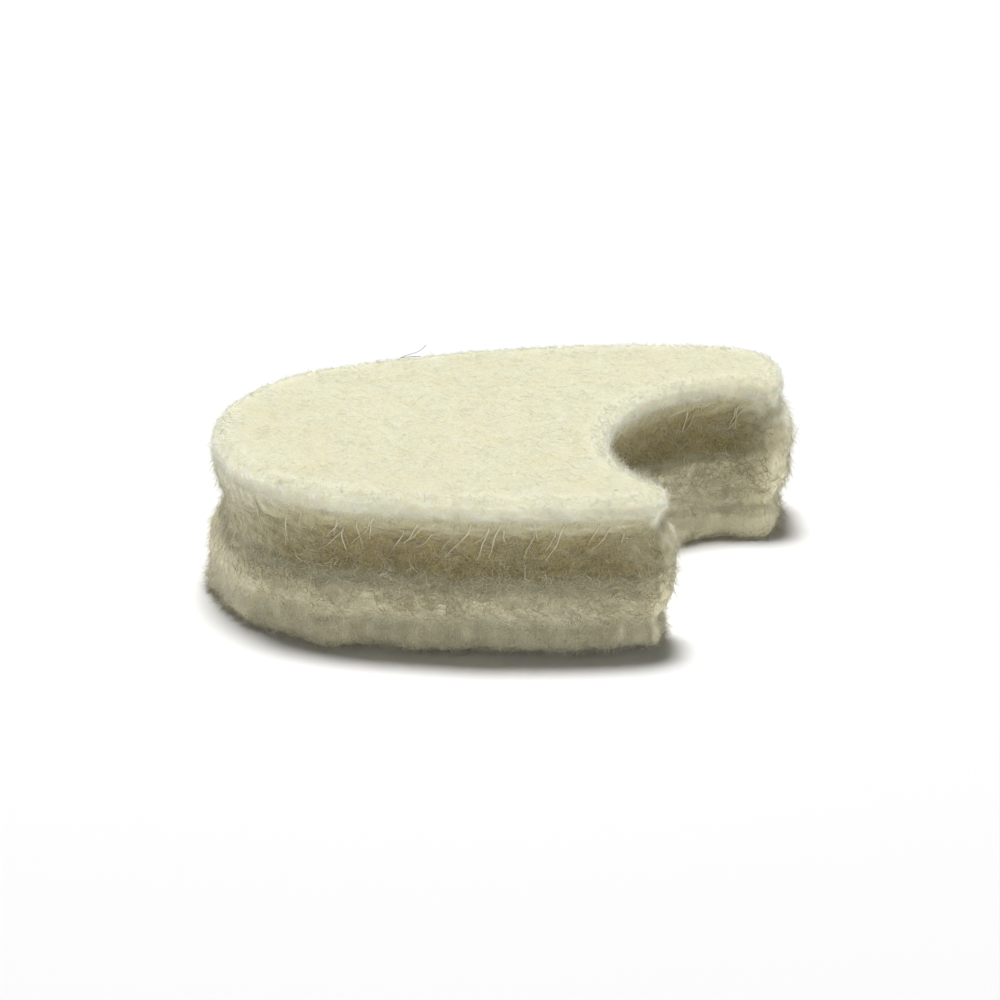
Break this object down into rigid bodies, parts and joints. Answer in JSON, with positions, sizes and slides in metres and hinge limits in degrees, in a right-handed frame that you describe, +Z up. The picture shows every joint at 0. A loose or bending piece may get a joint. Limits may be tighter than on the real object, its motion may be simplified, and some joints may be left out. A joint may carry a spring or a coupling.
{
  "type": "toe separator",
  "caption": "Thick pressed felt pad with a rounded end, crowned sides and a round notch between its arms, worn between the toes.",
  "frame": {"origin": "middle of the part's box, on the lower face", "axes": "+X from the rounded end towards the arms, +Y towards the long arm, +Z up from the lower face"},
  "size_m": [0.0334, 0.023, 0.0095],
  "materials": {
    "wool_felt": "matte, napped with short loose fibres"
  },
  "bodies": {
    "root": {"felt_pad": "wool_felt"}
  },
  "joints": []
}
